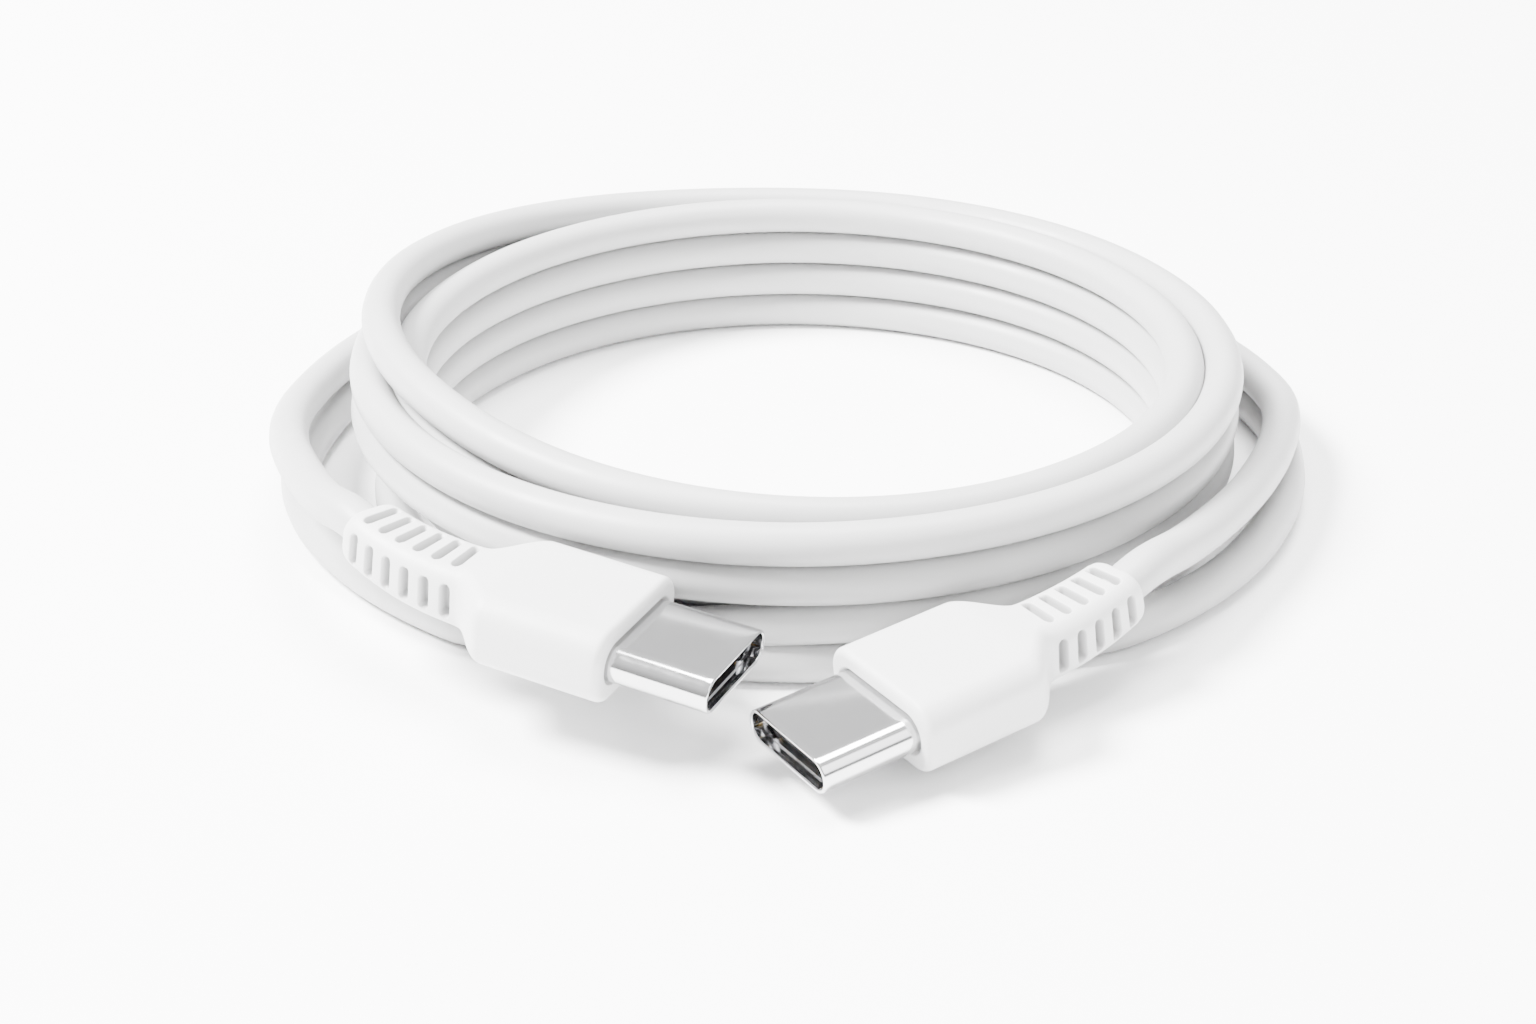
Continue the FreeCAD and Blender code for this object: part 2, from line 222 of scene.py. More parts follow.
def moulded_skin():
    """Spark-eroded plastic or rubber skin: a fine grain, slow clouding and uneven gloss."""
    name = "moulded skin"
    if name in bpy.data.node_groups:
        return bpy.data.node_groups[name]
    group = bpy.data.node_groups.new(name, "ShaderNodeTree")
    group_socket(group, "Colour", "NodeSocketColor", "INPUT", (0.9, 0.9, 0.9, 1))
    group_socket(group, "Cloud Colour", "NodeSocketColor", "INPUT", (0.86, 0.86, 0.86, 1))
    group_socket(group, "Grain Scale", "NodeSocketFloat", "INPUT", 9000.0)
    group_socket(group, "Grain Depth", "NodeSocketFloat", "INPUT", 0.1)
    group_socket(group, "Least Roughness", "NodeSocketFloat", "INPUT", 0.35)
    group_socket(group, "Most Roughness", "NodeSocketFloat", "INPUT", 0.5)
    group_socket(group, "Colour", "NodeSocketColor", "OUTPUT")
    group_socket(group, "Roughness", "NodeSocketFloat", "OUTPUT")
    group_socket(group, "Normal", "NodeSocketVector", "OUTPUT")
    ins = node(group, "NodeGroupInput")
    outs = node(group, "NodeGroupOutput")
    place = node(group, "ShaderNodeTexCoord").outputs["Object"]
    clouds = noise(group, place, 160.0, 3.0, 0.6)
    gloss = noise(group, place, 700.0, 4.0, 0.6)
    grain = noise(group, place, ins.outputs["Grain Scale"], 2.0, 0.6)
    waves = noise(group, place, 420.0, 1.0, 0.4)
    mix = node(group, "ShaderNodeMix", data_type="RGBA")
    join(group, clouds.outputs["Fac"], mix.inputs["Factor"])
    join(group, ins.outputs["Colour"], mix.inputs[6])
    join(group, ins.outputs["Cloud Colour"], mix.inputs[7])
    join(group, mix.outputs[2], outs.inputs["Colour"])
    spread = node(group, "ShaderNodeMapRange")
    spread.inputs["From Min"].default_value = 0.3
    spread.inputs["From Max"].default_value = 0.7
    join(group, gloss.outputs["Fac"], spread.inputs["Value"])
    join(group, ins.outputs["Least Roughness"], spread.inputs["To Min"])
    join(group, ins.outputs["Most Roughness"], spread.inputs["To Max"])
    join(group, spread.outputs["Result"], outs.inputs["Roughness"])
    wavy = node(group, "ShaderNodeBump")
    wavy.inputs["Strength"].default_value = 0.06
    wavy.inputs["Distance"].default_value = 0.1 * MM
    join(group, waves.outputs["Fac"], wavy.inputs["Height"])
    bump = node(group, "ShaderNodeBump")
    bump.inputs["Distance"].default_value = 0.02 * MM
    join(group, ins.outputs["Grain Depth"], bump.inputs["Strength"])
    join(group, grain.outputs["Fac"], bump.inputs["Height"])
    join(group, wavy.outputs["Normal"], bump.inputs["Normal"])
    join(group, bump.outputs["Normal"], outs.inputs["Normal"])
    return group


def drawn_metal():
    """Drawn sheet metal: soft smears of gloss, faint ripples and darker patches in the finish."""
    name = "drawn metal"
    if name in bpy.data.node_groups:
        return bpy.data.node_groups[name]
    group = bpy.data.node_groups.new(name, "ShaderNodeTree")
    group_socket(group, "Colour", "NodeSocketColor", "INPUT", (0.8, 0.8, 0.8, 1))
    group_socket(group, "Patch Colour", "NodeSocketColor", "INPUT", (0.7, 0.7, 0.7, 1))
    group_socket(group, "Least Roughness", "NodeSocketFloat", "INPUT", 0.12)
    group_socket(group, "Most Roughness", "NodeSocketFloat", "INPUT", 0.2)
    group_socket(group, "Ripple Depth", "NodeSocketFloat", "INPUT", 0.05)
    group_socket(group, "Colour", "NodeSocketColor", "OUTPUT")
    group_socket(group, "Roughness", "NodeSocketFloat", "OUTPUT")
    group_socket(group, "Normal", "NodeSocketVector", "OUTPUT")
    ins = node(group, "NodeGroupInput")
    outs = node(group, "NodeGroupOutput")
    place = node(group, "ShaderNodeTexCoord").outputs["Object"]
    patches = noise(group, place, 240.0, 3.0, 0.6)
    smears = noise(group, place, 900.0, 4.0, 0.65)
    ripples = noise(group, place, 380.0, 1.0, 0.4)
    mix = node(group, "ShaderNodeMix", data_type="RGBA")
    join(group, patches.outputs["Fac"], mix.inputs["Factor"])
    join(group, ins.outputs["Colour"], mix.inputs[6])
    join(group, ins.outputs["Patch Colour"], mix.inputs[7])
    join(group, mix.outputs[2], outs.inputs["Colour"])
    spread = node(group, "ShaderNodeMapRange")
    spread.inputs["From Min"].default_value = 0.3
    spread.inputs["From Max"].default_value = 0.7
    join(group, smears.outputs["Fac"], spread.inputs["Value"])
    join(group, ins.outputs["Least Roughness"], spread.inputs["To Min"])
    join(group, ins.outputs["Most Roughness"], spread.inputs["To Max"])
    join(group, spread.outputs["Result"], outs.inputs["Roughness"])
    bump = node(group, "ShaderNodeBump")
    bump.inputs["Distance"].default_value = 0.05 * MM
    join(group, ins.outputs["Ripple Depth"], bump.inputs["Strength"])
    join(group, ripples.outputs["Fac"], bump.inputs["Height"])
    join(group, bump.outputs["Normal"], outs.inputs["Normal"])
    return group


# ----------------------------------------------------------------------------- materials

def blank(name):
    """A new material, its node tree and its shader."""
    material = bpy.data.materials.new(name)
    material.use_nodes = True
    return material, material.node_tree, material.node_tree.nodes["Principled BSDF"]


def dress(tree, shader, group, values):
    """Place an effect in a material and feed its three outputs to the shader."""
    placed = node(tree, "ShaderNodeGroup", node_tree=group)
    for name, value in values.items():
        placed.inputs[name].default_value = value
    join(tree, placed.outputs["Colour"], shader.inputs["Base Color"])
    join(tree, placed.outputs["Roughness"], shader.inputs["Roughness"])
    join(tree, placed.outputs["Normal"], shader.inputs["Normal"])


def shade_of(colour, amount):
    return tuple(c * amount for c in colour) + (1.0,)


def skin_material(name, colour, roughness=(0.36, 0.5), grain=9000.0, depth=0.1, soft=0.0):
    """Moulded plastic or rubber of one colour. soft is how much light goes under the skin."""
    material, tree, shader = blank(name)
    dress(tree, shader, moulded_skin(), {
        "Colour": shade_of(colour, 1.0), "Cloud Colour": shade_of(colour, 0.965),
        "Grain Scale": grain, "Grain Depth": depth,
        "Least Roughness": roughness[0], "Most Roughness": roughness[1]})
    shader.inputs["IOR"].default_value = 1.46
    shader.inputs["Subsurface Weight"].default_value = soft
    shader.inputs["Subsurface Radius"].default_value = (1.0, 0.95, 0.9)
    shader.inputs["Subsurface Scale"].default_value = 0.5 * MM
    return material


def moulding_material(colour):
    """The plug's white moulding, greyer down in the strain relief's slots by painted shade."""
    material = skin_material("moulding", colour, (0.4, 0.52), 8000.0, 0.12, 0.1)
    tree = material.node_tree
    shader = tree.nodes["Principled BSDF"]
    skin_colour = shader.inputs["Base Color"].links[0].from_socket
    # The slot attribute is the mask of painted shade: how far into a slot each point is.
    slot = node(tree, "ShaderNodeAttribute", attribute_name="slot")
    mix = node(tree, "ShaderNodeMix", data_type="RGBA")
    join(tree, slot.outputs["Fac"], mix.inputs["Factor"])
    join(tree, skin_colour, mix.inputs[6])
    mix.inputs[7].default_value = shade_of(colour, SLOT_PAINTED_SHADE)
    join(tree, mix.outputs[2], shader.inputs["Base Color"])
    return material


def metal_material(name, colour, roughness=(0.12, 0.2), ripple=0.05, patch=0.93):
    """Drawn or plated metal of one colour."""
    material, tree, shader = blank(name)
    dress(tree, shader, drawn_metal(), {
        "Colour": shade_of(colour, 1.0), "Patch Colour": shade_of(colour, patch),
        "Least Roughness": roughness[0], "Most Roughness": roughness[1],
        "Ripple Depth": ripple})
    shader.inputs["Metallic"].default_value = 1.0
    return material


def board_material():
    """Green solder mask with the pale lines of the tracks under it."""
    material, tree, shader = blank("board mask")
    place = node(tree, "ShaderNodeTexCoord").outputs["Object"]
    tracks = node(tree, "ShaderNodeTexWave", wave_type="BANDS", bands_direction="DIAGONAL")
    tracks.inputs["Scale"].default_value = 900.0
    tracks.inputs["Distortion"].default_value = 1.5
    join(tree, place, tracks.inputs["Vector"])
    greens = node(tree, "ShaderNodeValToRGB")
    greens.color_ramp.elements[0].color = (0.012, 0.11, 0.045, 1)
    greens.color_ramp.elements[1].color = (0.03, 0.2, 0.08, 1)
    join(tree, tracks.outputs["Fac"], greens.inputs["Fac"])
    join(tree, greens.outputs["Color"], shader.inputs["Base Color"])
    bump = node(tree, "ShaderNodeBump")
    bump.inputs["Strength"].default_value = 0.2
    bump.inputs["Distance"].default_value = 0.03 * MM
    join(tree, tracks.outputs["Fac"], bump.inputs["Height"])
    join(tree, bump.outputs["Normal"], shader.inputs["Normal"])
    shader.inputs["Roughness"].default_value = 0.25
    return material


def floor_material(colour):
    """Matt white paper floor with a trace of tooth."""
    material, tree, shader = blank("floor paper")
    dress(tree, shader, moulded_skin(), {
        "Colour": shade_of(colour, 1.0), "Cloud Colour": shade_of(colour, 1.0),
        "Grain Scale": 1500.0, "Grain Depth": 0.02,
        "Least Roughness": 0.85, "Most Roughness": 0.95})
    shader.inputs["Specular IOR Level"].default_value = 0.1
    return material


# ------------------------------------------------------------------------ shared geometry

def plug_frame(side):
    """The rim's middle, and the ways forward, across and up, of one plug."""
    mounts = {m["name"]: m for m in frame["record"]["mounts"]}
    nose = mounts[f"{side}_plug_nose"]
    forward = Vector(nose["axis"]).normalized()
    across = Vector((0, 0, 1)).cross(forward).normalized()
    return Vector(nose["pos_m"]), forward, across, forward.cross(across)


def on_plug(side, behind, y=0.0, z=0.0):
    rim, forward, across, up = plug_frame(side)
    return rim - forward * behind + across * y + up * z


def relief_end(side):
    """How far behind the rim the strain relief's cord end is."""
    return SLOT_FIRST + (SLOTS[side] - 1) * SLOT_PITCH + COLLAR


def bent(side, behind, y=0.0, z=0.0):
    """A place on the plug, where the strain relief gives the way its cord pulls it."""
    over = behind - BEND_START
    if over <= 0:
        return on_plug(side, behind, y, z)
    rim, forward, across, up = plug_frame(side)
    angle, (to_side, to_top) = RELIEF_BEND[side]
    length = relief_end(side) - BEND_START
    radius = length / angle
    turned = min(over, length) / radius
    inward = across * to_side + up * to_top
    straight = up * to_side - across * to_top
    onward = inward * math.sin(turned) - forward * math.cos(turned)
    outward = inward * math.cos(turned) + forward * math.sin(turned)
    middle = rim - forward * (BEND_START + radius * math.sin(turned))
    middle += inward * radius * (1 - math.cos(turned)) + onward * max(0.0, over - length)
    return middle + outward * (y * to_side + z * to_top) + straight * (z * to_side - y * to_top)


def ramp(value, start, end):
    """0 before start, 1 after end, and smooth between."""
    t = min(1.0, max(0.0, (value - start) / (end - start)))
    return t * t * (3 - 2 * t)


def outline(width, height, radius, columns):
    """A rounded rectangle: (y, z, normal y, normal z, length from a side's middle, length from
    the top's or underside's middle) for each column, the same columns for any size."""
    radius = min(radius, width / 2, height / 2)
    flat_side = height / 2 - radius
    flat_top = width / 2 - radius
    bend = radius * math.pi / 2
    quarter = flat_side + bend + flat_top
    corner = []
    for k in range(columns + 1):
        along = quarter * k / columns
        if along <= flat_side:
            point = (width / 2, along, 1.0, 0.0)
        elif along <= flat_side + bend and radius > 0:
            angle = (along - flat_side) / radius
            c, s = math.cos(angle), math.sin(angle)
            point = (flat_top + radius * c, flat_side + radius * s, c, s)
        else:
            point = (quarter - along, height / 2, 0.0, 1.0)
        corner.append(point + (along, quarter - along))
    ring = []
    for sy, sz, order in ((1, 1, 1), (-1, 1, -1), (-1, -1, 1), (1, -1, -1)):
        quarter_ring = corner[:-1] if order == 1 else corner[:0:-1]
        for y, z, ny, nz, from_side, from_top in quarter_ring:
            ring.append((sy * y, sz * z, sy * ny, sz * nz, from_side, from_top))
    return ring


def skin_over(name, rings, side):
    """A mesh through rings of (distance behind the rim, y, z) points, placed on one plug."""
    verts = [bent(side, *p) for ring in rings for p in ring]
    count = len(rings[0])
    faces = []
    for row in range(len(rings) - 1):
        for k in range(count):
            a = row * count + k
            b = row * count + (k + 1) % count
            faces.append((a, b, b + count, a + count))
    mesh = bpy.data.meshes.new(name)
    mesh.from_pydata([tuple(v) for v in verts], [], faces)
    work = bmesh.new()
    work.from_mesh(mesh)
    bmesh.ops.recalc_face_normals(work, faces=work.faces)
    work.to_mesh(mesh)
    work.free()
    mesh.polygons.foreach_set("use_smooth", [True] * len(mesh.polygons))
    piece = bpy.data.objects.new(name, mesh)
    bpy.context.scene.collection.objects.link(piece)
    return piece


def plain_ring(behind, width, height, radius, columns):
    return [(behind, p[0], p[1]) for p in outline(width, height, radius, columns)]


# ----------------------------------------------------------------------------- moulding

BODY_FRONT = 6.65 * MM           # how far behind the rim the body's front face is
SHOULDER = (14.9 * MM, 18.3 * MM)
SLOT_FIRST = 18.8 * MM
SLOT_PITCH = 1.45 * MM
COLLAR = 1.5 * MM                # from the last slot's middle to the cord's end of the relief
TOP_SLOT_SPAN = 2.7 * MM
SIDE_SLOT_SPAN = 2.3 * MM
SLOT_EDGE = 0.06 * MM            # how far a slot's edge is rounded
COLLAR_ROUND = 0.75 * MM
RELIEF_CORNER = 1.35 * MM
ROUND_STEPS = 8                  # mesh steps round a rounded edge
# The skin's lip round the shell: distance behind the rim, how much larger than the shell it is
# and its corner radius, in millimetres
LIP = ((8.2, 0.0, 1.18), (6.95, 0.0, 1.18), (6.85, 0.34, 1.35), (6.71, 0.4, 1.38),
       (6.65, 0.5, 1.42), (6.65, 0.62, 1.42))
BEND_START = 18.0 * MM           # the strain relief is straight ahead of this
# How far each strain relief gives, and which way: across the plug and up
RELIEF_BEND = {"left": (math.radians(24), (0.97, 0.243)), "right": (math.radians(14), (-0.8, 0.6))}
SLOT_PAINTED_SHADE = 0.5                # how much darker the painted shade makes the bottom of a slot than the skin


def moulding_size(side, behind, s):
    """Width, height and corner radius of the moulding at a distance behind the rim."""
    drawn_in = ramp(behind, *SHOULDER)
    taper = ramp(behind, SHOULDER[1], relief_end(side) + 4 * MM)
    relief_width = s.relief_width + 0.25 * MM - taper * 0.7 * MM
    relief_height = s.relief_height + 0.2 * MM - taper * 0.5 * MM
    width = s.width + (relief_width - s.width) * drawn_in
    height = s.height + (relief_height - s.height) * ramp(behind, SHOULDER[0], SHOULDER[1] + 1 * MM)
    corner = s.corner + (RELIEF_CORNER - s.corner) * drawn_in
    return width, height, corner


def slot_depth(side, behind, from_side, from_top, s):
    """How deep a flexing slot is cut at a place on the strain relief."""
    deepest = 0.0
    for k in range(SLOTS[side]):
        along = behind - (SLOT_FIRST + k * SLOT_PITCH)
        if abs(along) > SLOT_PITCH / 2:
            continue
        for away, span in ((from_top, TOP_SLOT_SPAN), (from_side, SIDE_SLOT_SPAN)):
            beyond = max(0.0, away - (span - s.slot_width) / 2)
            inside = s.slot_width / 2 - math.hypot(along, beyond)
            deepest = max(deepest, ramp(inside, -SLOT_EDGE, SLOT_EDGE))
    return deepest * s.slot_depth


def moulding_rows(side, s):
    """Distances behind the rim of the moulding's rows, close together round the slots."""
    rows = [BODY_FRONT + s.front_edge + k * 0.55 * MM for k in range(1, 16)]
    at = SHOULDER[0]
    while at < SLOT_FIRST - 0.6 * MM:
        rows.append(at)
        at += 0.16 * MM
    half = s.slot_width / 2
    close = [-half - 0.12 * MM, -half - 0.08 * MM, -half - 0.04 * MM, -half, -half + 0.04 * MM,
             -half + 0.08 * MM, -half + 0.12 * MM, -half / 3]
    near = close + [-x for x in reversed(close)]
    for k in range(SLOTS[side]):
        middle = SLOT_FIRST + k * SLOT_PITCH
        rows += [middle + x for x in near] + [middle + 0.6 * MM, middle + 0.75 * MM]
    last = relief_end(side) - COLLAR_ROUND
    return sorted(r for r in rows if r < last)


def moulding_rings(side, s, shell):
    """Rings of the whole moulding, front to back, and how far into a slot each point is."""
    n = s.columns
    rings = []
    for behind, larger, corner in LIP:
        rings.append(plain_ring(behind * MM, shell.width + larger * MM, shell.height + larger * MM,
                                corner * MM, n))
    edge = s.front_edge
    spare = edge + 0.08 * MM
    rings.append(plain_ring(BODY_FRONT, s.width - 2 * spare, s.height - 2 * spare, s.corner - edge, n))
    for k in range(ROUND_STEPS + 1):
        angle = math.radians(90 * k / ROUND_STEPS)
        inset = edge * (1 - math.sin(angle))
        behind = BODY_FRONT + edge * (1 - math.cos(angle))
        rings.append(plain_ring(behind, s.width - 2 * inset, s.height - 2 * inset, s.corner - inset, n))
    # How far into a slot each point is, kept as the mask of painted shade in the slots.
    shade = [0.0] * (len(rings) * 4 * n)
    for behind in moulding_rows(side, s):
        ring = []
        for y, z, ny, nz, from_side, from_top in outline(*moulding_size(side, behind, s), n):
            depth = slot_depth(side, behind, from_side, from_top, s)
            ring.append((behind, y - ny * depth, z - nz * depth))
            shade.append(depth / s.slot_depth)
        rings.append(ring)
    end = relief_end(side)
    width, height, corner = moulding_size(side, end, s)
    for k in range(ROUND_STEPS + 1):
        angle = math.radians(90 * k / ROUND_STEPS)
        inset = COLLAR_ROUND * 0.8 * (1 - math.cos(angle))
        behind = end - COLLAR_ROUND * (1 - math.sin(angle))
        rings.append(plain_ring(behind, width - 2 * inset, height - 2 * inset, corner, n))
    hole = settings().cord.diameter + 0.03 * MM
    rings.append(plain_ring(end + 0.01 * MM, hole + 0.2 * MM, hole + 0.2 * MM, hole, n))
    rings.append(plain_ring(end - 0.12 * MM, hole, hole, hole / 2, n))
    rings.append(plain_ring(end - 1.0 * MM, hole, hole, hole / 2, n))
    shade += [0.0] * (len(rings) * 4 * n - len(shade))
    return rings, shade


SHELL_OUTSIDE_AT = (9.0, 6.8, 6.0, 4.0, 2.0, 1.0, 0.5)   # rows behind the rim, in millimetres
SHELL_INSIDE_AT = (0.5, 1.0, 3.0, 6.0, 9.0)
SHELL_FLAT = 0.06 * MM           # half the flat left on the shell's short sides
RIM_STEPS = 10                   # mesh steps round the rolled rim


def shell_rings(s, columns):
    """The steel shell's wall, out along the outside, round the rolled rim and back inside."""
    rings = []
    for behind in SHELL_OUTSIDE_AT:
        rings.append(plain_ring(behind * MM, s.width, s.height, s.height / 2 - SHELL_FLAT, columns))
    half = s.wall / 2
    for k in range(RIM_STEPS + 1):
        angle = math.radians(180 * k / RIM_STEPS)
        inset = half * (1 - math.cos(angle))
        behind = half * (1 - math.sin(angle))
        radius = s.height / 2 - SHELL_FLAT - inset
        rings.append(plain_ring(behind, s.width - 2 * inset, s.height - 2 * inset, radius, columns))
    width, height = s.width - 2 * s.wall, s.height - 2 * s.wall
    for behind in SHELL_INSIDE_AT:
        rings.append(plain_ring(behind * MM, width, height, height / 2 - SHELL_FLAT, columns))
    return rings


# --------------------------------------------------------------------------------- cord

def cord_from_loops(point):
    return Vector(point) * MM + LOOPS_MIDDLE


def round_point(angle, radius, height, middle_y, spacing):
    """A place wound clockwise from the front. Control points stand a little outside the curve."""
    out = radius / math.cos(math.radians(spacing) / 2)
    a = math.radians(angle)
    return LOOPS_MIDDLE + Vector((-out * math.sin(a), middle_y - out * math.cos(a), height))


def neat_point(wound, d):
    """The neat turns' line: two columns of turns, one inside the other, with its level changes."""
    a = math.radians(wound)
    inward = ramp(wound, *TO_INNER) - ramp(wound, *TO_OUTER)
    level = 0.5
    level += sum(ramp(wound, *rise) for rise in INNER_RISES)
    level -= sum(ramp(wound, *fall) for fall in OUTER_FALLS)
    radius = OUTER_RADIUS - FRONT_PULL * math.cos(a) + OVAL * math.cos(2 * a) - COLUMN_STEP * inward
    radius += WANDER * math.sin(3 * a + 1.3 * (wound // 360))
    return round_point(wound, radius * d, level * d, STACK_MIDDLE_Y * d, POINT_STEP)


def cord_route(d):
    """Control points from the left strain relief to the right one."""
    points = []
    for inset in (-CORD_INSIDE, 0.0, LEAD_STRAIGHT["left"] * MM):
        points.append(bent("left", relief_end("left") + inset))
    points += [cord_from_loops(p) for p in LEFT_LEAD]
    for angle in range(LOOSE_FROM + POINT_STEP, LOOSE_TO, POINT_STEP):
        back = math.sin(math.radians(angle - 90)) ** 2
        level = 1.5 - ramp(angle, LOOSE_FROM, 240)
        radius = (UPPER_LOOSE[0] + UPPER_LOOSE[1] * back) * d
        points.append(round_point(angle, radius, level * d, 0, POINT_STEP))
    points += [cord_from_loops(p) for p in RIGHT_FLOOR]
    for wound in range(NEAT_START, NEAT_END, POINT_STEP):
        points.append(neat_point(wound, d))
    points += [cord_from_loops(p) for p in reversed(LEFT_FLOOR)]
    for angle in range(LOOSE_FROM + POINT_STEP, LOOSE_TO, POINT_STEP):
        back = math.sin(math.radians(angle - 90)) ** 2
        level = 0.5 + ramp(angle, 120, 260)
        radius = (LOWER_LOOSE[0] + LOWER_LOOSE[1] * back) * d
        points.append(round_point(angle, radius, level * d, 0, POINT_STEP))
    points += [cord_from_loops(p) for p in reversed(RIGHT_LEAD)]
    for inset in (LEAD_STRAIGHT["right"] * MM, 0.0, -CORD_INSIDE):
        points.append(bent("right", relief_end("right") + inset))
    return points


def settings():
    return bpy.context.scene.charging_cable


# ----------------------------------------------------------------------------- operators

class CABLE_OT_stage(bpy.types.Operator):
    """Set the camera, the pale floor and the soft studio lights"""
    bl_idname = "cable.stage"
    bl_label = "Stage"

    def execute(self, context):
        s = settings().stage
        self.set_camera(context, s)
        self.lay_floor(context, s)
        lights = (
            ("key light", (-0.48, 0.0, 0.62), 0.3, 54.0),
            ("fill light", (0.5, -0.4, 0.45), 0.6, 4.4),
            ("top light", (0.08, 0.2, 0.85), 0.5, 22.0),
        )
        for name, place, size, power in lights:
            self.hang_light(context, name, Vector(place), size, power)
        world = bpy.data.worlds.new("studio")
        world.use_nodes = True
        tree = world.node_tree
        backdrop = tree.nodes["Background"]
        height = node(tree, "ShaderNodeSeparateXYZ")
        join(tree, node(tree, "ShaderNodeTexCoord").outputs["Generated"], height.inputs["Vector"])
        sky = node(tree, "ShaderNodeValToRGB")
        sky.color_ramp.elements[0].position = 0.0
        sky.color_ramp.elements[0].color = (0.3, 0.3, 0.3, 1)
        sky.color_ramp.elements[1].position = 0.65
        sky.color_ramp.elements[1].color = (1, 1, 1, 1)
        join(tree, height.outputs["Z"], sky.inputs["Fac"])
        join(tree, sky.outputs["Color"], backdrop.inputs["Color"])
        backdrop.inputs["Strength"].default_value = 1.75
        context.scene.world = world
        return {"FINISHED"}

    @staticmethod
    def set_camera(context, s):
        data = bpy.data.cameras.new("camera")
        data.lens = s.lens
        data.sensor_width = 36.0
        data.clip_start = 1 * MM
        camera = bpy.data.objects.new("camera", data)
        camera.location = LOOPS_MIDDLE + Vector((0, -s.camera_away, s.camera_height))
        camera.rotation_euler = (math.pi / 2 - s.camera_tilt, 0, s.camera_turn)
        context.scene.collection.objects.link(camera)
        context.scene.camera = camera

    @staticmethod
    def lay_floor(context, s):
        mesh = bpy.data.meshes.new("floor")
        work = bmesh.new()
        bmesh.ops.create_grid(work, x_segments=8, y_segments=8, size=3.0)
        work.to_mesh(mesh)
        work.free()
        floor = bpy.data.objects.new("floor", mesh)
        floor.data.materials.append(floor_material(s.floor_colour))
        context.scene.collection.objects.link(floor)

    @staticmethod
    def hang_light(context, name, place, size, power):
        data = bpy.data.lights.new(name, "AREA")
        data.shape = "DISK"
        data.size = size
        data.energy = power
        light = bpy.data.objects.new(name, data)
        light.location = place
        light.rotation_euler = (LOOPS_MIDDLE - place).to_track_quat("-Z", "Y").to_euler()
        context.scene.collection.objects.link(light)


class CABLE_OT_cord(bpy.types.Operator):
    """Wind the cord from one strain relief to the other"""
    bl_idname = "cable.cord"
    bl_label = "Cord"

    def execute(self, context):
        s = settings().cord
        curve = bpy.data.curves.new("cord", "CURVE")
        curve.dimensions = "3D"
        curve.bevel_depth = s.diameter / 2
        curve.bevel_resolution = 7
        curve.resolution_u = 6
        spline = curve.splines.new("NURBS")
        route = cord_route(s.diameter)
        spline.points.add(len(route) - 1)
        for point, place in zip(spline.points, route):
            point.co = (*place, 1.0)
        spline.order_u = 3
        spline.use_endpoint_u = True
        spline.use_smooth = True
        cord = bpy.data.objects.new("cord_line", curve)
        context.scene.collection.objects.link(cord)
        curve.materials.append(skin_material("jacket", s.colour, (0.38, 0.5), 7000.0, 0.08, 0.1))
        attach(cord, "cord")
        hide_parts("coil_stack", "loose_turns", "left_lead", "right_lead",
                    "left_floor_turn", "right_floor_turn", "left_cord_stub", "right_cord_stub")
        return {"FINISHED"}


class CABLE_OT_mouldings(bpy.types.Operator):
    """Mould each plug's body and slotted strain relief in one skin"""
    bl_idname = "cable.mouldings"
    bl_label = "Mouldings"

    def execute(self, context):
        s = settings()
        white = moulding_material(s.moulding.colour)
        for side in SIDES:
            rings, shade = moulding_rings(side, s.moulding, s.shell)
            piece = skin_over(f"{side}_moulding", rings, side)
            # The slot attribute carries each point's painted shade in the slots to the material.
            piece.data.attributes.new("slot", "FLOAT", "POINT").data.foreach_set("value", shade)
            piece.data.materials.append(white)
            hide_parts(f"{side}_plug_body", f"{side}_strain_relief")
            bent(side, relief_end(side))
            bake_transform(piece)
        return {"FINISHED"}


class CABLE_OT_shells(bpy.types.Operator):
    """Draw each plug's polished steel shell with its rolled rim"""
    bl_idname = "cable.shells"
    bl_label = "Shells"

    def execute(self, context):
        s = settings().shell
        steel = metal_material("polished steel", s.colour, (0.1, 0.16), 0.03)
        for side in SIDES:
            piece = skin_over(f"{side}_shell", shell_rings(s, 24), side)
            piece.data.materials.append(steel)
            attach(piece, f"{side}_plug")
            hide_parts(f"{side}_plug_shell")
        return {"FINISHED"}


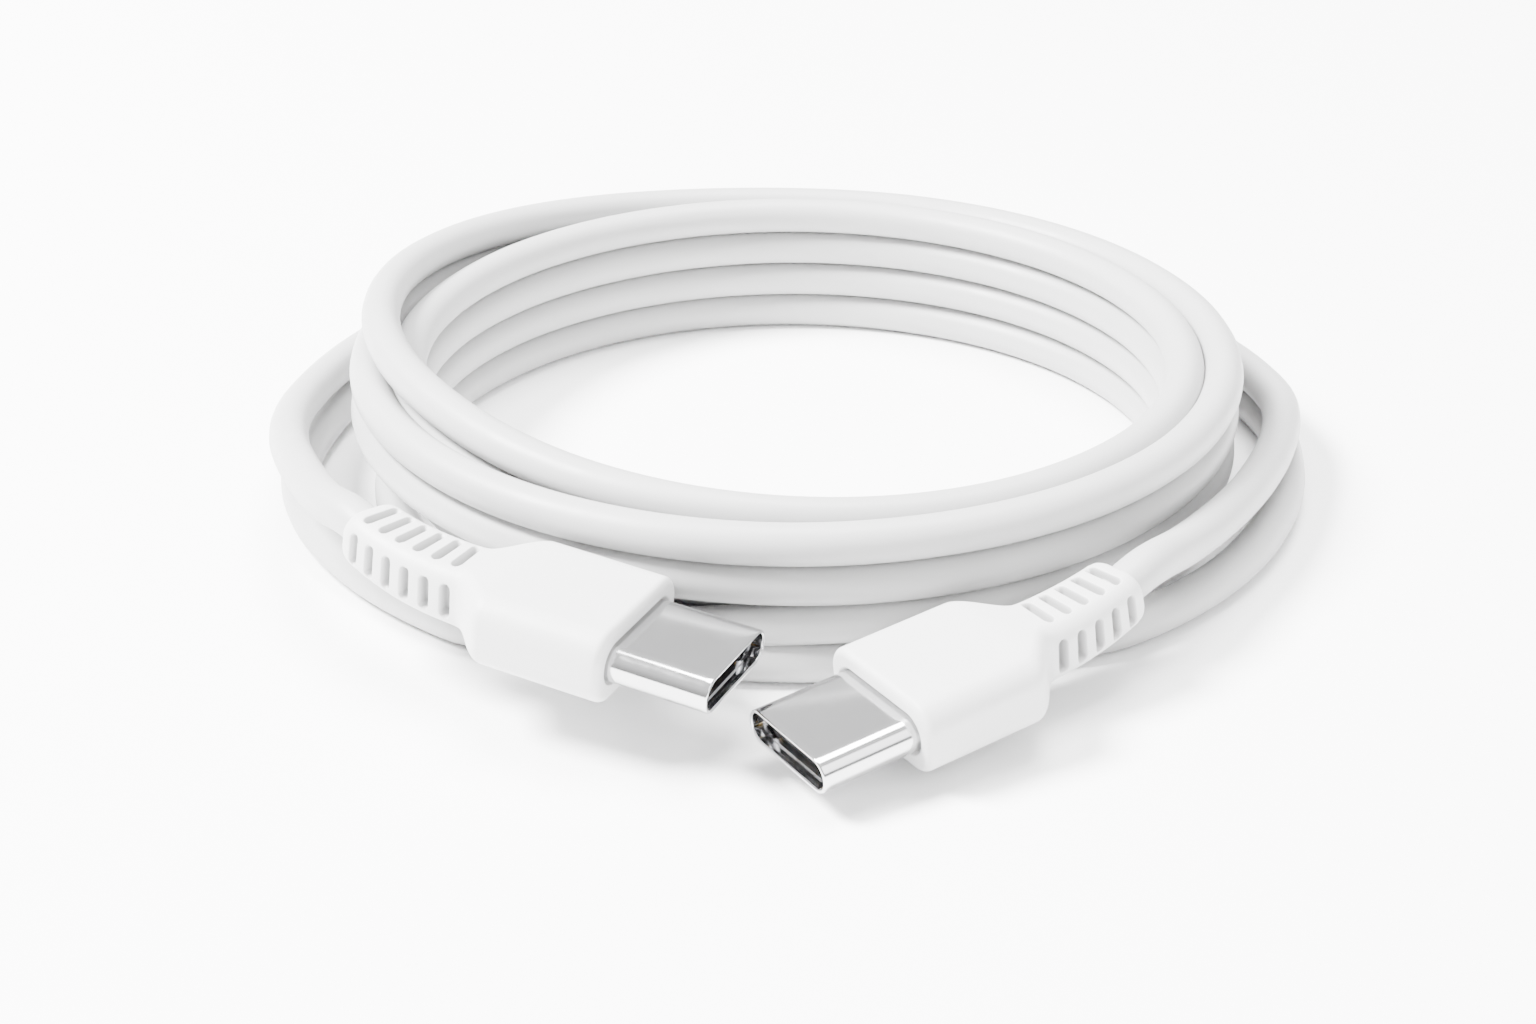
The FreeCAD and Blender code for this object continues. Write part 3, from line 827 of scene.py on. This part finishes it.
class CABLE_OT_inner_pieces(bpy.types.Operator):
    """Give every piece inside the plugs its own finish"""
    bl_idname = "cable.inner_pieces"
    bl_label = "Inner pieces"

    def execute(self, context):
        gold = metal_material("gold plate", (0.83, 0.62, 0.28), (0.2, 0.3))
        spring = metal_material("spring steel", (0.72, 0.72, 0.74), (0.14, 0.24))
        tin = metal_material("tinned sheet", (0.62, 0.62, 0.62), (0.3, 0.42), 0.1, 0.85)
        bright = metal_material("solder", (0.7, 0.7, 0.72), (0.25, 0.35), 0.2)
        black = skin_material("black insulator", (0.018, 0.018, 0.02), (0.3, 0.45))
        finishes = {
            "insulator": black,
            "contacts_upper": gold,
            "contacts_lower": gold,
            "contact_tails_upper": gold,
            "contact_tails_lower": gold,
            "latch_arm_a": spring,
            "latch_arm_b": spring,
            "ground_springs": spring,
            "circuit_board": board_material(),
            "control_chip": skin_material("chip case", (0.02, 0.02, 0.02), (0.5, 0.65)),
            "board_passives": skin_material("ceramic chips", (0.42, 0.34, 0.24), (0.4, 0.5)),
            "solder_joints": bright,
            "shield_upper": tin,
            "shield_lower": tin,
            "crimp_ferrule": tin,
            "jacket_end": bpy.data.materials["jacket"],
            "inner_mould": skin_material("inner moulding", (0.8, 0.8, 0.77), (0.5, 0.6)),
            "power_wire": skin_material("red core", (0.55, 0.02, 0.02)),
            "ground_wire": skin_material("black core", (0.015, 0.015, 0.015)),
            "control_wire": skin_material("blue core", (0.02, 0.07, 0.45)),
            "data_wire_positive": skin_material("green core", (0.02, 0.3, 0.06)),
            "data_wire_negative": skin_material("white core", (0.82, 0.82, 0.82)),
        }
        for side in SIDES:
            for name, finish in finishes.items():
                materials = frame["nodes"][f"{side}_{name}"].data.materials
                materials.clear()
                materials.append(finish)
        return {"FINISHED"}


class CABLE_OT_declare(bpy.types.Operator):
    """Work out where the left strain relief's cord end is, and keep nothing"""
    bl_idname = "cable.declare"
    bl_label = "Declare the cord"

    def execute(self, context):
        tuple(bent("left", relief_end("left")))
        return {"FINISHED"}


class CABLE_PT_panel(bpy.types.Panel):
    bl_label = "Charging cable"
    bl_idname = "CABLE_PT_panel"
    bl_space_type = "VIEW_3D"
    bl_region_type = "UI"
    bl_category = "Cable"

    def draw(self, context):
        s = settings()
        parts = (("cord", s.cord), ("mouldings", s.moulding), ("shells", s.shell), ("stage", s.stage))
        for name, group in parts:
            box = self.layout.box()
            box.operator(f"cable.{name}")
            for prop in group.__annotations__:
                box.prop(group, prop)
        self.layout.operator("cable.inner_pieces")
        self.layout.operator("cable.declare")


CLASSES = (
    CordSettings, MouldingSettings, ShellSettings, StageSettings, CableSettings,
    CABLE_OT_stage, CABLE_OT_cord, CABLE_OT_mouldings, CABLE_OT_shells, CABLE_OT_inner_pieces,
    CABLE_OT_declare, CABLE_PT_panel,
)


def register():
    for cls in CLASSES:
        bpy.utils.register_class(cls)
    bpy.types.Scene.charging_cable = PointerProperty(type=CableSettings)


def unregister():
    del bpy.types.Scene.charging_cable
    for cls in reversed(CLASSES):
        bpy.utils.unregister_class(cls)


def main():
    register()
    bpy.ops.cable.stage()
    bpy.ops.cable.cord()
    bpy.ops.cable.mouldings()
    bpy.ops.cable.shells()
    bpy.ops.cable.inner_pieces()
    bpy.ops.cable.declare()


if __name__ == "__main__":
    main()
